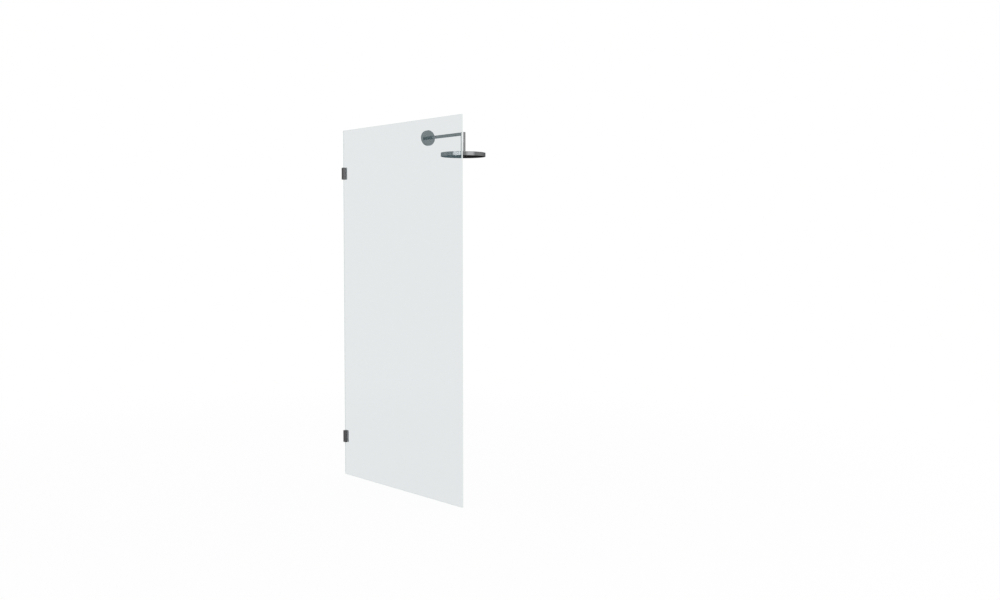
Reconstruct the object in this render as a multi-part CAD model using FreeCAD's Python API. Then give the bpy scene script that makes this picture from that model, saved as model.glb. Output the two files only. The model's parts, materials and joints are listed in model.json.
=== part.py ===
import FreeCAD, Part
import os
from math import asin, cos, pi, radians, sin, sqrt, tan

# A frameless fixed glass shower panel on wall clamps, with the overhead shower beside it.
# The wall is the plane X = 0 and the panel runs out along +X. Y = 0 is the middle of the
# glass, the shower is on the +Y side, and Z = 0 is the glass's bottom edge. Millimetres.

# Glass panel
glass_width = 1200.0
glass_height = 2100.0
glass_thickness = 8.0
glass_arris = 0.8
glass_wall_gap = 5.0

# Wall clamps, U-shaped round the glass's edge
clamp_height = 72.0
clamp_reach = 28.0
clamp_bevel = 1.5
clamp_web = 3.2
front_cheek = 7.5
rear_cheek = 6.0
upper_clamp_below_top = 260.0
lower_clamp_above_bottom = 234.0
gasket_thickness = 1.5
gasket_inset = 1.0
pressure_plate_thickness = 2.0
pressure_plate_slack = 0.5
wall_hole_diameter = 5.5
wall_hole_spacing = 40.0
wall_screw_head_diameter = 10.4
set_screw_diameter = 5.0
set_screw_spacing = 36.0
set_screw_recess = 0.4
set_screw_key = 2.5
set_screw_key_depth = 2.0

# Shower arm on the wall
arm_beside_glass = 628.0
arm_height = 2090.0
arm_reach = 380.0
arm_diameter = 20.0
arm_wall = 1.5
inlet_thread_diameter = 20.955
inlet_thread_length = 16.0
inlet_bore_diameter = 12.0
inlet_hex = 24.0
inlet_hex_width = 6.0
inlet_spigot_length = 14.0
inlet_chamfer = 1.0

# Rose that covers the inlet
rose_diameter = 98.0
rose_depth = 16.0
rose_wall = 2.0
rose_edge_radius = 1.5
rose_boss_diameter = 32.0
rose_boss_depth = 8.0
rose_bore_clearance = 0.25
rose_seal_thickness = 1.0
rose_seal_width = 3.0
o_ring_section = 1.9

# Drop tube
drop_diameter = 25.0
drop_wall = 1.5
drop_rise = 11.0
drop_edge = 0.6
cap_thickness = 2.0

# Outlet bush in the drop tube's lower end, and what it holds
bush_length = 18.0
bush_thread_diameter = 15.0
bush_outlet_diameter = 10.0
stem_shank_length = 8.0
filter_washer_thickness = 2.0
filter_washer_hole = 7.0
regulator_thickness = 4.0
regulator_port_diameter = 1.8
regulator_port_count = 8
regulator_port_circle = 8.5

# Ball joint between the drop tube and the head
head_drop = 116.0
ball_diameter = 17.0
ball_depth = 4.0
neck_diameter = 11.0
stem_bore_diameter = 6.0
stem_key = 6.5
stem_key_depth = 5.0
seat_thickness = 2.4
seat_gap = 3.0
lower_seat_height = 4.0
tilt_stop_deg = 15.5
tilt_margin = 0.4
neck_margin_deg = 2.0
nut_height = 5.0
nut_diameter = 35.0
nut_flats = 32.0
nut_thread_diameter = 29.0
nut_lift = 0.3
nut_edge = 0.8

# Shower head
head_diameter = 273.0
head_height = 23.5
shell_thickness = 1.5
shell_edge_radius = 2.0
hub_diameter = 37.0
hub_flange_diameter = 52.0
hub_flange_thickness = 3.0
hub_floor = 1.5
hub_port_diameter = 5.0
hub_port_count = 6
hub_port_below_ball = 8.0
face_boss_diameter = 11.0
face_screw_diameter = 4.0
face_screw_head_diameter = 8.0
face_screw_length = 7.0
face_screw_key = 2.5
face_screw_key_depth = 1.5
face_recess = 0.3
face_thickness = 3.0
face_clearance = 0.15
face_seal_width = 2.4
face_seal_height = 1.6
nozzle_diameter = 4.2
nozzle_hole_clearance = 0.1
nozzle_jet_diameter = 1.2
nozzle_proud = 1.5
nozzle_taper = 0.5
nozzle_ring_count = 5
nozzle_ring_pitch = 22.0
nozzles_per_ring_step = 6
mat_thickness = 1.5
mat_margin = 7.0

# Fits
braze_gap = 0.02
slip_fit = 0.05
thread_fit = 0.05

# Places worked out from the sizes above
glass_half = glass_thickness / 2
front_seat = -(glass_half + gasket_thickness)
rear_plate_front = glass_half + gasket_thickness
rear_plate_back = rear_plate_front + pressure_plate_thickness
rear_seat = rear_plate_back + pressure_plate_slack
clamp_front = front_seat - front_cheek
clamp_rear = rear_seat + rear_cheek
upper_clamp_z = glass_height - upper_clamp_below_top
lower_clamp_z = lower_clamp_above_bottom
set_screw_x = (glass_wall_gap + clamp_reach) / 2

arm_radius = arm_diameter / 2
arm_bore = arm_radius - arm_wall
drop_radius = drop_diameter / 2
drop_bore = drop_radius - drop_wall
rose_back = rose_seal_thickness
rose_front = rose_back + rose_depth

ball_radius = ball_diameter / 2
neck_radius = neck_diameter / 2
seat_inner = ball_radius + slip_fit
seat_outer = seat_inner + seat_thickness
cavity = seat_outer + slip_fit
tilt_stop = radians(tilt_stop_deg)
seat_top = seat_inner * cos(asin(neck_radius / ball_radius) + tilt_stop + radians(neck_margin_deg))
nut_above_ball = nut_height + ball_depth
nut_opening = nut_above_ball * tan(tilt_stop) + neck_radius / cos(tilt_stop)
tube_end_above_ball = nut_above_ball / cos(tilt_stop) + drop_radius * tan(tilt_stop) + tilt_margin

head_top_z = arm_height - head_drop
ball_z = head_top_z - ball_depth
tube_end_z = ball_z + tube_end_above_ball
head_radius = head_diameter / 2
shell_inner = head_radius - shell_thickness
face_radius = shell_inner - face_clearance
face_bottom = -head_height + face_recess
face_top = face_bottom + face_thickness
hub_radius = hub_diameter / 2
hub_thread = nut_thread_diameter / 2 + thread_fit
hub_bottom = -ball_depth - cavity - hub_floor
mat_radius = nozzle_ring_count * nozzle_ring_pitch + mat_margin


def vector(x, y, z):
    return FreeCAD.Vector(x, y, z)


def turned(start, *steps):
    """Solid of revolution about Z from a closed (radius, height) outline.

    A step is the next point, or a (through, end) pair of points for an arc. The last step
    closes the outline: a line back to the start, unless an arc already ends there.
    """
    edges = []
    here = vector(start[0], 0, start[1])
    for step in steps:
        if isinstance(step[0], tuple):
            through, end = [vector(point[0], 0, point[1]) for point in step]
            edges.append(Part.Arc(here, through, end).toShape())
        else:
            end = vector(step[0], 0, step[1])
            edges.append(Part.makeLine(here, end))
        here = end
    if edges[0].firstVertex().Point != here:
        edges.append(Part.makeLine(here, edges[0].firstVertex().Point))
    face = Part.Face(Part.Wire(edges))
    return face.revolve(vector(0, 0, 0), vector(0, 0, 1), 360)


def on_ball(radius, height):
    """Point of a sphere's outline at a height above its centre, which is at the origin."""
    return (sqrt(radius * radius - height * height), height)


def quarter(corner, radius):
    """Through point of a rounded outer edge whose arc is centred at corner."""
    return (corner[0] + radius * sin(pi / 4), corner[1] + radius * cos(pi / 4))


def disc(radius, bottom, top):
    return Part.makeCylinder(radius, top - bottom, vector(0, 0, bottom))


def hexagon(across_flats, bottom, top):
    corner = across_flats / sqrt(3)
    points = [vector(corner * cos(i * pi / 3), corner * sin(i * pi / 3), bottom) for i in range(7)]
    return Part.Face(Part.makePolygon(points)).extrude(vector(0, 0, top - bottom))


def slab(x0, x1, y0, y1, z0, z1):
    return Part.makeBox(x1 - x0, y1 - y0, z1 - z0, vector(x0, y0, z0))


def around(shape, radius, count, start=0.0):
    """Copies of a shape, evenly spaced on a circle about Z."""
    copies = []
    for i in range(count):
        angle = start + 2 * pi * i / count
        copies.append(shape.translated(vector(radius * cos(angle), radius * sin(angle), 0)))
    return copies


def along_x(shape):
    """Turn a piece built about Z so that its +Z points along +X."""
    return shape.rotated(vector(0, 0, 0), vector(0, 1, 0), 90)


def along_y(shape):
    """Turn a piece built about Z so that its +Z points along +Y."""
    return shape.rotated(vector(0, 0, 0), vector(1, 0, 0), -90)


def at_arm(shape):
    """Move a piece from the arm's axis at the wall to its place."""
    return shape.translated(vector(0, arm_beside_glass, arm_height))


def at_drop(shape, z):
    """Move a piece from the drop tube's axis to its place, its own zero at height z."""
    return shape.translated(vector(arm_reach, arm_beside_glass, z))


# Glass panel
def glass_panel():
    pane = slab(glass_wall_gap, glass_wall_gap + glass_width, -glass_half, glass_half, 0, glass_height)
    return pane.makeChamfer(glass_arris, pane.Edges)


# Clamp pieces, each about the clamp's own middle height
def clamp_body():
    half = clamp_height / 2
    block = slab(0, clamp_reach, clamp_front, clamp_rear, -half, half)
    free_edges = [edge for edge in block.Edges if edge.BoundBox.XMax > clamp_reach / 2]
    block = block.makeChamfer(clamp_bevel, free_edges)
    body = block.cut(slab(clamp_web, clamp_reach, front_seat, rear_seat, -half, half))
    sink_depth = (wall_screw_head_diameter - wall_hole_diameter) / 2
    sink = Part.makeCone(
        wall_hole_diameter / 2, wall_screw_head_diameter / 2, sink_depth, vector(0, 0, clamp_web - sink_depth)
    )
    wall_hole = along_x(disc(wall_hole_diameter / 2, 0, clamp_web).fuse(sink))
    screw_hole = along_y(disc(set_screw_diameter / 2 + thread_fit, rear_seat, clamp_rear))
    for side in (-1, 1):
        body = body.cut(wall_hole.translated(vector(0, 0, side * wall_hole_spacing / 2)))
        body = body.cut(screw_hole.translated(vector(set_screw_x, 0, side * set_screw_spacing / 2)))
    return body


def clamp_strip(y0, y1):
    """Flat strip on the glass's face inside the clamp: a gasket or the pressure plate."""
    half = clamp_height / 2 - gasket_inset
    return slab(glass_wall_gap + gasket_inset, clamp_reach - gasket_inset, y0, y1, -half, half)


def clamp_edge_pad():
    half = clamp_height / 2 - gasket_inset
    return slab(clamp_web, glass_wall_gap, -glass_half, glass_half, -half, half)


def clamp_set_screws():
    head = clamp_rear - set_screw_recess
    screw = disc(set_screw_diameter / 2, rear_plate_back, head)
    screw = along_y(screw.cut(hexagon(set_screw_key, head - set_screw_key_depth, head)))
    pair = [screw.translated(vector(set_screw_x, 0, side * set_screw_spacing / 2)) for side in (-1, 1)]
    return Part.makeCompound(pair)


def clamp_pieces(name, z):
    pieces = {
        "clamp_body": clamp_body(),
        "clamp_front_gasket": clamp_strip(front_seat, -glass_half),
        "clamp_rear_gasket": clamp_strip(glass_half, rear_plate_front),
        "clamp_pressure_plate": clamp_strip(rear_plate_front, rear_plate_back),
        "clamp_edge_pad": clamp_edge_pad(),
        "clamp_set_screws": clamp_set_screws(),
    }
    return {f"{name}_{key}": shape.translated(vector(0, 0, z)) for key, shape in pieces.items()}


# Shower arm and its wall end
def inlet_nipple():
    thread = inlet_thread_diameter / 2
    bore = inlet_bore_diameter / 2
    spigot = arm_bore - slip_fit
    end = inlet_hex_width + inlet_spigot_length
    body = turned(
        (bore, -inlet_thread_length),
        (thread - inlet_chamfer, -inlet_thread_length),
        (thread, inlet_chamfer - inlet_thread_length),
        (thread, 0),
        (spigot, 0),
        (spigot, end),
        (bore, end),
    )
    nut = hexagon(inlet_hex, 0, inlet_hex_width).cut(disc(spigot, 0, inlet_hex_width))
    return at_arm(along_x(body.fuse(nut).removeSplitter()))


def rose():
    outer = rose_diameter / 2
    inner = outer - rose_wall
    bore = arm_radius + rose_bore_clearance
    boss = rose_boss_diameter / 2
    boss_back = rose_front - rose_boss_depth
    groove = arm_radius + o_ring_section + slip_fit
    groove_middle = rose_front - rose_boss_depth / 2
    groove_half = o_ring_section / 2 + slip_fit
    edge = (outer - rose_edge_radius, rose_front - rose_edge_radius)
    shape = turned(
        (outer, rose_back),
        (outer, edge[1]),
        (quarter(edge, rose_edge_radius), (edge[0], rose_front)),
        (bore, rose_front),
        (bore, groove_middle + groove_half),
        (groove, groove_middle + groove_half),
        (groove, groove_middle - groove_half),
        (bore, groove_middle - groove_half),
        (bore, boss_back),
        (boss, boss_back),
        (boss, rose_front - rose_wall),
        (inner, rose_front - rose_wall),
        (inner, rose_back),
    )
    return at_arm(along_x(shape))


def rose_o_ring():
    section = o_ring_section / 2
    ring = Part.makeTorus(arm_radius + slip_fit / 2 + section, section)
    return at_arm(along_x(ring.translated(vector(0, 0, rose_front - rose_boss_depth / 2))))


def rose_wall_seal():
    outer = rose_diameter / 2
    return at_arm(along_x(disc(outer, 0, rose_back).cut(disc(outer - rose_seal_width, 0, rose_back))))


def arm_tube():
    tube = disc(arm_radius, inlet_hex_width, arm_reach).cut(disc(arm_bore, inlet_hex_width, arm_reach))
    saddle = disc(drop_radius + braze_gap, -drop_diameter, drop_diameter)
    return at_arm(along_x(tube).cut(saddle.translated(vector(arm_reach, 0, 0))))


# Drop tube
def drop_tube():
    bottom = tube_end_z - arm_height
    tube = turned(
        (drop_bore, bottom),
        (drop_radius, bottom),
        (drop_radius, drop_rise - drop_edge),
        (drop_radius - drop_edge, drop_rise),
        (drop_bore, drop_rise),
    )
    port = along_x(disc(arm_bore, -drop_diameter, 0))
    return at_drop(tube.cut(port), arm_height)


def drop_tube_cap():
    return at_drop(disc(drop_bore - braze_gap, drop_rise - cap_thickness, drop_rise), arm_height)


def outlet_bush():
    thread = bush_thread_diameter / 2
    outlet = bush_outlet_diameter / 2
    shoulder = stem_shank_length + filter_washer_thickness + regulator_thickness
    shape = turned(
        (thread, 0),
        (drop_bore - braze_gap, 0),
        (drop_bore - braze_gap, bush_length),
        (outlet, bush_length),
        (outlet, shoulder),
        (thread, shoulder),
    )
    return at_drop(shape, tube_end_z)


def filter_washer():
    bottom = tube_end_z + stem_shank_length
    ring = disc(bush_thread_diameter / 2 - thread_fit, 0, filter_washer_thickness)
    return at_drop(ring.cut(disc(filter_washer_hole / 2, 0, filter_washer_thickness)), bottom)


def flow_regulator():
    bottom = tube_end_z + stem_shank_length + filter_washer_thickness
    body = disc(bush_thread_diameter / 2 - thread_fit, 0, regulator_thickness)
    port = disc(regulator_port_diameter / 2, 0, regulator_thickness)
    ports = around(port, regulator_port_circle / 2, regulator_port_count)
    return at_drop(body.cut(Part.makeCompound(ports)), bottom)


# Ball joint, built about the ball's centre
def ball_stem():
    shank = bush_thread_diameter / 2 - thread_fit
    bore = stem_bore_diameter / 2
    waist = on_ball(ball_radius, sqrt(ball_radius**2 - neck_radius**2))
    bottom = on_ball(ball_radius, -sqrt(ball_radius**2 - bore**2))
    top = tube_end_above_ball + stem_shank_length
    shape = turned(
        bottom,
        ((ball_radius, 0), waist),
        (neck_radius, tube_end_above_ball),
        (shank, tube_end_above_ball),
        (shank, top),
        (bore, top),
    )
    return at_drop(shape.cut(hexagon(stem_key, -ball_radius, stem_key_depth - ball_radius)), ball_z)


def ball_seat(low, high):
    """Zone of the spherical liner between two heights above the ball's centre."""
    middle = (low + high) / 2
    shape = turned(
        on_ball(seat_inner, low),
        on_ball(seat_outer, low),
        (on_ball(seat_outer, middle), on_ball(seat_outer, high)),
        on_ball(seat_inner, high),
        (on_ball(seat_inner, middle), on_ball(seat_inner, low)),
    )
    return at_drop(shape, ball_z)


def ball_seat_upper():
    return ball_seat(seat_gap / 2, seat_top)


def ball_seat_lower():
    return ball_seat(-seat_gap / 2 - lower_seat_height, -seat_gap / 2)


def retaining_nut():
    outer = nut_diameter / 2
    thread = nut_thread_diameter / 2
    lip = on_ball(cavity, sqrt(cavity**2 - nut_opening**2))
    rim_bottom = ball_depth + nut_lift
    shape = turned(
        (cavity, 0),
        (on_ball(cavity, lip[1] / 2), lip),
        (nut_opening, nut_above_ball),
        (outer - nut_edge, nut_above_ball),
        (outer, nut_above_ball - nut_edge),
        (outer, rim_bottom),
        (thread, rim_bottom),
        (thread, 0),
    )
    half = nut_flats / 2
    for side in (-1, 1):
        edge = sorted((side * half, side * nut_diameter))
        shape = shape.cut(slab(edge[0], edge[1], -nut_diameter, nut_diameter, rim_bottom, nut_above_ball))
    return at_drop(shape, ball_z)


# Shower head, built down from its top face
def head_shell():
    edge = (head_radius - shell_edge_radius, -shell_edge_radius)
    inner_radius = shell_edge_radius - shell_thickness
    shape = turned(
        (hub_radius + slip_fit, 0),
        (edge[0], 0),
        (quarter(edge, shell_edge_radius), (head_radius, edge[1])),
        (head_radius, -head_height),
        (shell_inner, -head_height),
        (shell_inner, edge[1]),
        (quarter(edge, inner_radius), (edge[0], -shell_thickness)),
        (hub_radius + slip_fit, -shell_thickness),
    )
    return at_drop(shape, head_top_z)


def head_hub():
    flange = hub_flange_diameter / 2
    flange_bottom = -shell_thickness - hub_flange_thickness
    boss = face_boss_diameter / 2
    screw = face_screw_diameter / 2 + thread_fit
    screw_top = face_bottom + face_screw_length
    bowl_bottom = -ball_depth - cavity
    bowl_middle = on_ball(cavity, -cavity / 2)
    shape = turned(
        (hub_thread, 0),
        (hub_radius, 0),
        (hub_radius, -shell_thickness),
        (flange, -shell_thickness),
        (flange, flange_bottom),
        (hub_radius, flange_bottom),
        (hub_radius, hub_bottom),
        (boss, hub_bottom),
        (boss, face_top),
        (screw, face_top),
        (screw, screw_top),
        (0, screw_top),
        (0, bowl_bottom),
        ((bowl_middle[0], bowl_middle[1] - ball_depth), (cavity, -ball_depth)),
        (hub_thread, -ball_depth),
    )
    port = along_x(disc(hub_port_diameter / 2, 0, hub_diameter))
    port = port.translated(vector(0, 0, -ball_depth - hub_port_below_ball))
    for i in range(hub_port_count):
        shape = shape.cut(port.rotated(vector(0, 0, 0), vector(0, 0, 1), 360 * i / hub_port_count))
    return at_drop(shape, head_top_z)


def nozzle_places(shape):
    """Copies of a shape at every nozzle of the spray face."""
    copies = []
    for ring in range(1, nozzle_ring_count + 1):
        count = nozzles_per_ring_step * ring
        copies += around(shape, ring * nozzle_ring_pitch, count, pi * ring / count)
    return copies


def spray_face():
    rebate_inner = face_radius - face_seal_width
    rebate_bottom = face_top - face_seal_height
    screw = face_screw_diameter / 2 + thread_fit
    head = face_screw_head_diameter / 2
    shape = turned(
        (head, face_bottom),
        (face_radius, face_bottom),
        (face_radius, rebate_bottom),
        (rebate_inner, rebate_bottom),
        (rebate_inner, face_top),
        (screw, face_top),
        (screw, face_bottom + head - screw),
    )
    hole = disc(nozzle_diameter / 2 + nozzle_hole_clearance, face_bottom, face_top)
    return at_drop(shape.cut(Part.makeCompound(nozzle_places(hole))), head_top_z)


def nozzle_mat():
    inner = face_boss_diameter / 2 + slip_fit
    top = face_top + mat_thickness
    tip = face_bottom - nozzle_proud
    nozzle = turned(
        (0, tip),
        (nozzle_diameter / 2 - nozzle_taper, tip),
        (nozzle_diameter / 2, face_bottom),
        (nozzle_diameter / 2, face_top),
        (0, face_top),
    )
    jet = disc(nozzle_jet_diameter / 2, tip, top)
    mat = disc(mat_radius, face_top, top).cut(disc(inner, face_top, top))
    mat = mat.fuse(nozzle_places(nozzle))
    return at_drop(mat.cut(Part.makeCompound(nozzle_places(jet))), head_top_z)


def face_seal():
    bottom = face_top - face_seal_height
    inner = face_radius - face_seal_width + slip_fit
    ring = disc(shell_inner - slip_fit, bottom, face_top).cut(disc(inner, bottom, face_top))
    return at_drop(ring, head_top_z)


def face_screw():
    shank = face_screw_diameter / 2
    head = face_screw_head_diameter / 2
    shape = turned(
        (0, face_bottom),
        (head - thread_fit, face_bottom),
        (shank, face_bottom + head - thread_fit - shank),
        (shank, face_bottom + face_screw_length - thread_fit),
        (0, face_bottom + face_screw_length - thread_fit),
    )
    key = hexagon(face_screw_key, face_bottom, face_bottom + face_screw_key_depth)
    return at_drop(shape.cut(key), head_top_z)


def all_pieces():
    pieces = {"glass_panel": glass_panel()}
    pieces.update(clamp_pieces("upper", upper_clamp_z))
    pieces.update(clamp_pieces("lower", lower_clamp_z))
    makers = (
        inlet_nipple, rose, rose_o_ring, rose_wall_seal, arm_tube,
        drop_tube, drop_tube_cap, outlet_bush, filter_washer, flow_regulator,
        ball_stem, ball_seat_upper, ball_seat_lower, retaining_nut,
        head_shell, head_hub, spray_face, nozzle_mat, face_seal, face_screw,
    )
    for make in makers:
        pieces[make.__name__] = make()
    return pieces


os.makedirs("parts", exist_ok=True)
for name, shape in all_pieces().items():
    shape.exportStep(f"parts/{name}.step")
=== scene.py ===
import json
from math import cos, pi, radians, sin

import bpy
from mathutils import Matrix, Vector


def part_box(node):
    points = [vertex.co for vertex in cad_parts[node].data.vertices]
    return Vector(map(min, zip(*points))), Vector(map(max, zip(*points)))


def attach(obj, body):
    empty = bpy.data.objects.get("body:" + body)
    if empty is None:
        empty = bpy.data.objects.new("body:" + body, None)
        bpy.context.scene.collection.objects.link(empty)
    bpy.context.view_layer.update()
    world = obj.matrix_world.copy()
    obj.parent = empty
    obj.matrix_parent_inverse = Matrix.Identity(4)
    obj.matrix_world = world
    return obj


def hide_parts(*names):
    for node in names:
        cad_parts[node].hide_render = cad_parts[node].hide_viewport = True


# The fixed glass shower panel with its overhead shower, in metres, in the part's own frame.

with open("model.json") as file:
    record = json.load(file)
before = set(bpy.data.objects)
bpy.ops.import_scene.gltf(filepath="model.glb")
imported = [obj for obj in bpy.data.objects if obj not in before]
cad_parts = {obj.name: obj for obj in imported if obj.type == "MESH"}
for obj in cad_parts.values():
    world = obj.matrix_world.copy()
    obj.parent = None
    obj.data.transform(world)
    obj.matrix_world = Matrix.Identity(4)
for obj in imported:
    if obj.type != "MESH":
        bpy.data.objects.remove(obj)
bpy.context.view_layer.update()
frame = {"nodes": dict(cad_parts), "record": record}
scene = bpy.context.scene
head_low, head_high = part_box("head_shell")
head_middle = (head_low + head_high) / 2

# Camera, at the photograph's viewpoint
image_width_px = 1000
focal_px = 1179.5
sensor_width_mm = 36.0
camera_place = (6.2246, -3.7630, 1.4198)
camera_yaw_deg = 51.316
camera_down_deg = 2.774

# Pane: its tint, the tint of what it mirrors, its faint waves and the light that passes each face
glass_tint = (0.774, 0.796, 0.806, 1)
glass_mirror_tint = (0.15, 0.58, 0.72, 1)
glass_ior = 1.52
glass_waves_per_metre = 6.0
glass_wave_height = 0.00002
clear_pass = (0.87, 0.885, 0.89, 1)
broad_face_normal = 0.99

# Range that most of a noise lies in, and how far a soft piece's roughness strays from its middle
noise_low = 0.3
noise_high = 0.7
soft_rough_stray = 0.05

# Rubber and plastic: dark tone, light tone, roughness, grain waves to the metre, grain height, shine
soft_looks = {
    "gasket": ((0.17, 0.175, 0.18), (0.21, 0.215, 0.22), 0.6, 900.0, 0.00002, 0.5),
    "seal_rubber": ((0.008, 0.008, 0.008), (0.014, 0.014, 0.014), 0.55, 900.0, 0.00002, 0.5),
    "white_plastic": ((0.70, 0.70, 0.68), (0.76, 0.76, 0.74), 0.4, 500.0, 0.00001, 0.5),
    "spray_plastic": ((0.012, 0.012, 0.012), (0.018, 0.018, 0.018), 0.6, 500.0, 0.00001, 0.0),
    "nozzle_rubber": ((0.022, 0.022, 0.023), (0.03, 0.03, 0.031), 0.7, 900.0, 0.00001, 0.05),
}

# Wall nipple with its G1/2 pipe thread, about the arm's axis
nipple_thread_radius = 0.0104775
nipple_thread_pitch = 0.0018143
nipple_thread_depth = 0.00116
nipple_tip_chamfer = 0.001
nipple_bore_radius = 0.006
nipple_spigot_radius = 0.00845
nipple_hex_half_width = 0.012
nipple_hex_length = 0.006
nipple_hex_bevel = 0.0008
nipple_steps_round = 48
nipple_steps_per_turn = 10
sharp_edge_deg = 40

# Stage: the floor glows white to the eye, a little less close by, where it shows the object's shadow
floor_drop = 0.0005
floor_size = 60.0
floor_colour = (0.90, 0.90, 0.90, 1)
floor_roughness = 0.9
near_glow_share = 0.93
near_floor = 1.5
far_floor = 5.0
white = (1, 1, 1, 1)
ambient_level = 0.92

# Softboxes, which only shiny surfaces show
# Degrees round the head from +X, degrees up, distance, width, height, brightness
softboxes = {
    "key_light": (-67, -3, 4.5, 3.1, 2.5, 4.0),
    "key_glow": (-69, -3, 4.7, 4.4, 2.8, 0.6),
    "side_light": (-1, -3, 4.5, 2.4, 2.5, 0.6),
    "side_glow": (-1, -3, 4.7, 4.0, 2.8, 0.8),
    "top_light": (-66, 80, 3.0, 4.0, 4.0, 1.4),
}


def make_camera():
    data = bpy.data.cameras.new("camera")
    data.sensor_fit = "HORIZONTAL"
    data.sensor_width = sensor_width_mm
    data.lens = focal_px / image_width_px * sensor_width_mm
    camera = bpy.data.objects.new("camera", data)
    scene.collection.objects.link(camera)
    yaw = radians(camera_yaw_deg)
    down = radians(camera_down_deg)
    forward = Vector((-sin(yaw) * cos(down), cos(yaw) * cos(down), -sin(down)))
    camera.location = camera_place
    camera.rotation_mode = "QUATERNION"
    camera.rotation_quaternion = forward.to_track_quat("-Z", "Y")
    scene.camera = camera


# Node helpers
def link(tree, source, target):
    tree.links.new(source, target)


def seen_ray(tree):
    """One for what the camera sees, directly, in a reflection or through glass."""
    path = tree.nodes.new("ShaderNodeLightPath")
    total = path.outputs["Is Camera Ray"]
    for name in ("Is Glossy Ray", "Is Transmission Ray"):
        either = tree.nodes.new("ShaderNodeMath")
        either.operation = "MAXIMUM"
        link(tree, total, either.inputs[0])
        link(tree, path.outputs[name], either.inputs[1])
        total = either.outputs[0]
    return total


def blend(tree, share, first, second):
    """Surface between two shaders, by a share of the second."""
    mix = tree.nodes.new("ShaderNodeMixShader")
    link(tree, share, mix.inputs[0])
    link(tree, first, mix.inputs[1])
    link(tree, second, mix.inputs[2])
    return mix.outputs[0]


def principled(name):
    made = bpy.data.materials.new(name)
    made.use_nodes = True
    return made, made.node_tree, made.node_tree.nodes["Principled BSDF"]


def noise(tree, scale, detail=2.0, stretch=(1, 1, 1)):
    """Even noise from 0 to 1, in the piece's own frame, about scale waves to the metre."""
    place = tree.nodes.new("ShaderNodeTexCoord")
    mapping = tree.nodes.new("ShaderNodeMapping")
    mapping.inputs["Scale"].default_value = stretch
    texture = tree.nodes.new("ShaderNodeTexNoise")
    texture.inputs["Scale"].default_value = scale
    texture.inputs["Detail"].default_value = detail
    link(tree, place.outputs["Object"], mapping.inputs["Vector"])
    link(tree, mapping.outputs["Vector"], texture.inputs["Vector"])
    return texture.outputs["Fac"]


def spread(tree, source, low, high):
    """Stretch the middle of a noise over a range of values."""
    ranged = tree.nodes.new("ShaderNodeMapRange")
    ranged.inputs["From Min"].default_value = noise_low
    ranged.inputs["From Max"].default_value = noise_high
    ranged.inputs["To Min"].default_value = low
    ranged.inputs["To Max"].default_value = high
    link(tree, source, ranged.inputs["Value"])
    return ranged.outputs["Result"]


def two_tone(tree, source, dark, light):
    """Colour between two tones, by a noise."""
    mix = tree.nodes.new("ShaderNodeMix")
    mix.data_type = "RGBA"
    mix.inputs["A"].default_value = (*dark, 1)
    mix.inputs["B"].default_value = (*light, 1)
    link(tree, source, mix.inputs["Factor"])
    return mix.outputs["Result"]


def bump(tree, source, height, target):
    made = tree.nodes.new("ShaderNodeBump")
    made.inputs["Distance"].default_value = height
    link(tree, source, made.inputs["Height"])
    link(tree, made.outputs["Normal"], target)


def grained(tree, shader, grain, dark, light, smooth, rough):
    """Give a surface two close tones and an uneven gloss, both by one grain."""
    tone = spread(tree, grain, low=0.0, high=1.0)
    link(tree, two_tone(tree, tone, dark, light), shader.inputs["Base Color"])
    link(tree, spread(tree, grain, smooth, rough), shader.inputs["Roughness"])


# Materials
def clear_glass():
    made, tree, shader = principled("clear_glass")
    shader.inputs["Base Color"].default_value = glass_tint
    shader.inputs["Specular Tint"].default_value = glass_mirror_tint
    shader.inputs["Transmission Weight"].default_value = 1.0
    shader.inputs["IOR"].default_value = glass_ior
    shader.inputs["Roughness"].default_value = 0.0
    bump(tree, noise(tree, glass_waves_per_metre), glass_wave_height, shader.inputs["Normal"])
    let_light_through(tree, shader)
    return made


def let_light_through(tree, shader):
    """Let the lamps shine through the pane, and let other surfaces reflect what is beyond it."""
    path = tree.nodes.new("ShaderNodeLightPath")
    clear = tree.nodes.new("ShaderNodeBsdfTransparent")
    clear.inputs["Color"].default_value = clear_pass
    surface = shader.outputs[0]
    for name in ("Is Reflection Ray", "Is Shadow Ray"):
        surface = blend(tree, path.outputs[name], surface, clear.outputs[0])
    link(tree, surface, tree.nodes["Material Output"].inputs["Surface"])


def glass_edge():
    made, tree, shader = principled("glass_edge")
    ground = noise(tree, scale=250.0, detail=3.0)
    tones = (0.85, 0.91, 0.90), (0.90, 0.95, 0.94)
    grained(tree, shader, ground, *tones, smooth=0.25, rough=0.35)
    return made


def polished_chrome():
    made, tree, shader = principled("polished_chrome")
    shader.inputs["Metallic"].default_value = 1.0
    shader.inputs["Specular Tint"].default_value = (0.40, 0.405, 0.41, 1)
    smudges = noise(tree, scale=30.0, detail=4.0)
    # Base tones written far darker than real chrome: painted shade, standing in for dark surroundings
    # mirrored in the chrome. The small random spread between the two tones is real.
    tones = (0.148, 0.150, 0.152), (0.178, 0.180, 0.182)
    grained(tree, shader, smudges, *tones, smooth=0.08, rough=0.12)
    return made


def satin_chrome():
    made, tree, shader = principled("satin_chrome")
    shader.inputs["Metallic"].default_value = 1.0
    shader.inputs["Specular Tint"].default_value = (0.55, 0.55, 0.55, 1)
    brushing = noise(tree, scale=400.0, detail=3.0, stretch=(1, 1, 0.05))
    # Base tones written far darker than real chrome: painted shade, standing in for dark surroundings
    # mirrored in the clamps. The brushed grain and its small tone spread are real.
    tones = (0.081, 0.081, 0.083), (0.096, 0.096, 0.098)
    grained(tree, shader, brushing, *tones, smooth=0.28, rough=0.38)
    return made


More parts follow.
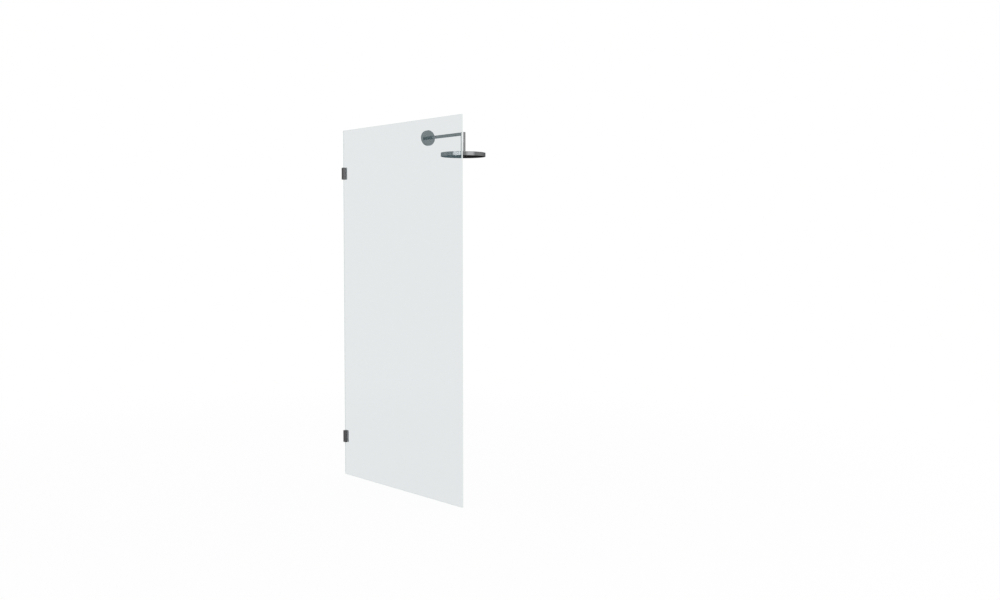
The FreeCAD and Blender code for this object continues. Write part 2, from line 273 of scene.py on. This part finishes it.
def inner_steel():
    made, tree, shader = principled("inner_steel")
    shader.inputs["Metallic"].default_value = 1.0
    brushing = noise(tree, scale=600.0, detail=3.0, stretch=(0.1, 1, 1))
    tones = (0.50, 0.50, 0.51), (0.60, 0.60, 0.61)
    grained(tree, shader, brushing, *tones, smooth=0.22, rough=0.34)
    return made


def machined_brass():
    made, tree, shader = principled("machined_brass")
    shader.inputs["Metallic"].default_value = 1.0
    marks = noise(tree, scale=700.0, detail=3.0)
    tones = (0.68, 0.50, 0.22), (0.78, 0.60, 0.30)
    grained(tree, shader, marks, *tones, smooth=0.2, rough=0.32)
    return made


def soft_plain(name, dark, light, rough, grain_scale, grain_height, shine):
    """Rubber or plastic: two close tones, a fine grain and an uneven gloss."""
    made, tree, shader = principled(name)
    shader.inputs["Specular IOR Level"].default_value = shine
    grain = noise(tree, grain_scale, detail=3.0)
    grained(tree, shader, grain, dark, light, rough - soft_rough_stray, rough + soft_rough_stray)
    bump(tree, grain, grain_height, shader.inputs["Normal"])
    return made


def pale_floor():
    made, tree, shader = principled("pale_floor")
    shader.inputs["Base Color"].default_value = floor_colour
    shader.inputs["Roughness"].default_value = floor_roughness
    shader.inputs["Specular IOR Level"].default_value = 0.0
    glow = tree.nodes.new("ShaderNodeEmission")
    share = tree.nodes.new("ShaderNodeMath")
    share.operation = "MULTIPLY"
    link(tree, floor_fade(tree), share.inputs[0])
    link(tree, seen_ray(tree), share.inputs[1])
    surface = blend(tree, share.outputs[0], shader.outputs[0], glow.outputs[0])
    link(tree, surface, tree.nodes["Material Output"].inputs["Surface"])
    return made


def floor_fade(tree):
    """Share of the floor that glows, by the distance from the middle of the floor."""
    place = tree.nodes.new("ShaderNodeTexCoord")
    away = tree.nodes.new("ShaderNodeVectorMath")
    away.operation = "LENGTH"
    link(tree, place.outputs["Object"], away.inputs[0])
    fade = tree.nodes.new("ShaderNodeMapRange")
    fade.interpolation_type = "SMOOTHSTEP"
    fade.inputs["From Min"].default_value = near_floor
    fade.inputs["From Max"].default_value = far_floor
    fade.inputs["To Min"].default_value = near_glow_share
    fade.inputs["To Max"].default_value = 1.0
    link(tree, away.outputs["Value"], fade.inputs["Value"])
    return fade.outputs["Result"]


def dress_nodes():
    made = {
        "clear_glass": clear_glass(),
        "clamp_metal": satin_chrome(),
        "shower_chrome": polished_chrome(),
        "inner_steel": inner_steel(),
        "brass": machined_brass(),
    }
    for name, look in soft_looks.items():
        made[name] = soft_plain(name, *look)
    for part in frame["record"]["subparts"]:
        node = frame["nodes"][part["node"]]
        node.data.materials.clear()
        node.data.materials.append(made[part["material_slot"]])
    pane = frame["nodes"]["glass_panel"].data
    pane.materials.append(glass_edge())
    for face in pane.polygons:
        face.material_index = 0 if abs(face.normal.y) > broad_face_normal else 1
    make_nipple(made["brass"])


# Wall nipple
def thread_reach(x, turn, tip):
    """Radius of the rounded pipe thread at a place along the nipple and an angle round it."""
    wave = cos(2 * pi * x / nipple_thread_pitch - turn)
    middle = nipple_thread_radius - nipple_thread_depth / 2
    lead_in = nipple_thread_radius - nipple_tip_chamfer + x - tip
    return min(middle + wave * nipple_thread_depth / 2, lead_in)


def hex_reach(turn):
    """Radius of the nipple's hexagon at an angle round it, with a corner at zero."""
    from_flat = turn % (pi / 3) - pi / 6
    return nipple_hex_half_width / cos(from_flat)


def plain_ring(x, radius):
    return [(x, radius)] * nipple_steps_round


def nipple_rings(turns, tip, end):
    """Outline of the nipple as rings of (place along it, radius), from its tip round to its bore."""
    step_count = round(-tip / nipple_thread_pitch * nipple_steps_per_turn)
    places = [tip * (1 - step / step_count) for step in range(step_count)]
    bevelled = nipple_hex_half_width + nipple_hex_bevel / 2
    full = [hex_reach(turn) for turn in turns]
    capped = [min(reach, bevelled) for reach in full]
    near = nipple_hex_bevel
    far = nipple_hex_length - nipple_hex_bevel
    rings = [plain_ring(tip, nipple_bore_radius)]
    rings += [[(x, thread_reach(x, turn, tip)) for turn in turns] for x in places]
    rings.append(plain_ring(0, nipple_thread_radius - nipple_thread_depth))
    for x, reaches in ((0, capped), (near, full), (far, full), (nipple_hex_length, capped)):
        rings.append([(x, reach) for reach in reaches])
    rings.append(plain_ring(nipple_hex_length, nipple_spigot_radius))
    rings.append(plain_ring(end, nipple_spigot_radius))
    rings.append(plain_ring(end, nipple_bore_radius))
    return rings


def ring_faces(ring_count):
    """Faces between each ring and the next, and from the last ring back to the first."""
    faces = []
    for i in range(ring_count):
        this = i * nipple_steps_round
        following = (i + 1) % ring_count * nipple_steps_round
        for j in range(nipple_steps_round):
            k = (j + 1) % nipple_steps_round
            faces.append((this + j, this + k, following + k, following + j))
    return faces


def make_nipple(made):
    low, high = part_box("inlet_nipple")
    axis_y = (low.y + high.y) / 2
    axis_z = (low.z + high.z) / 2
    turns = [2 * pi * i / nipple_steps_round for i in range(nipple_steps_round)]
    rings = nipple_rings(turns, low.x, high.x)
    points = []
    for ring in rings:
        for turn, (x, radius) in zip(turns, ring):
            points.append((x, axis_y + radius * sin(turn), axis_z - radius * cos(turn)))
    mesh = bpy.data.meshes.new("threaded_nipple")
    mesh.from_pydata(points, [], ring_faces(len(rings)))
    mesh.materials.append(made)
    mesh.shade_smooth()
    mesh.set_sharp_from_angle(angle=radians(sharp_edge_deg))
    nipple = bpy.data.objects.new("threaded_nipple", mesh)
    scene.collection.objects.link(nipple)
    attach(nipple, "fixed")
    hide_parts("inlet_nipple")


# Stage
def make_world():
    world = bpy.data.worlds.new("studio")
    world.use_nodes = True
    scene.world = world
    tree = world.node_tree
    lighting = tree.nodes["Background"]
    lighting.inputs["Color"].default_value = white
    lighting.inputs["Strength"].default_value = ambient_level
    backdrop = tree.nodes.new("ShaderNodeBackground")
    backdrop.inputs["Color"].default_value = white
    surface = blend(tree, seen_ray(tree), lighting.outputs[0], backdrop.outputs[0])
    link(tree, surface, tree.nodes["World Output"].inputs["Surface"])


def make_floor():
    half = floor_size / 2
    corners = [(x, y, -floor_drop) for x, y in ((-half, -half), (half, -half), (half, half), (-half, half))]
    mesh = bpy.data.meshes.new("floor")
    mesh.from_pydata(corners, [], [(0, 1, 2, 3)])
    mesh.materials.append(pale_floor())
    floor = bpy.data.objects.new("floor", mesh)
    scene.collection.objects.link(floor)


def all_but_pane():
    """What the softboxes light: all but the pane, so that it shows no hard white patches of them."""
    lit = bpy.data.collections.new("lit_by_softboxes")
    lit.objects.link(frame["nodes"]["glass_panel"])
    lit.collection_objects[0].light_linking.link_state = "EXCLUDE"
    return lit


def make_softbox(lit, name, round_deg, up_deg, distance, width, height, brightness):
    data = bpy.data.lights.new(name, "AREA")
    data.shape = "RECTANGLE"
    data.size = width
    data.size_y = height
    data.energy = brightness * pi * width * height
    lamp = bpy.data.objects.new(name, data)
    scene.collection.objects.link(lamp)
    turn = radians(round_deg)
    up = radians(up_deg)
    outward = Vector((cos(turn) * cos(up), sin(turn) * cos(up), sin(up)))
    lamp.location = head_middle + distance * outward
    lamp.rotation_mode = "QUATERNION"
    lamp.rotation_quaternion = outward.to_track_quat("Z", "Y")
    lamp.visible_camera = False
    lamp.visible_transmission = False
    lamp.visible_diffuse = False
    lamp.light_linking.receiver_collection = lit


make_camera()
make_world()
make_floor()
lit_pieces = all_but_pane()
for softbox, values in softboxes.items():
    make_softbox(lit_pieces, softbox, *values)
dress_nodes()

scene.view_settings.view_transform = "Standard"
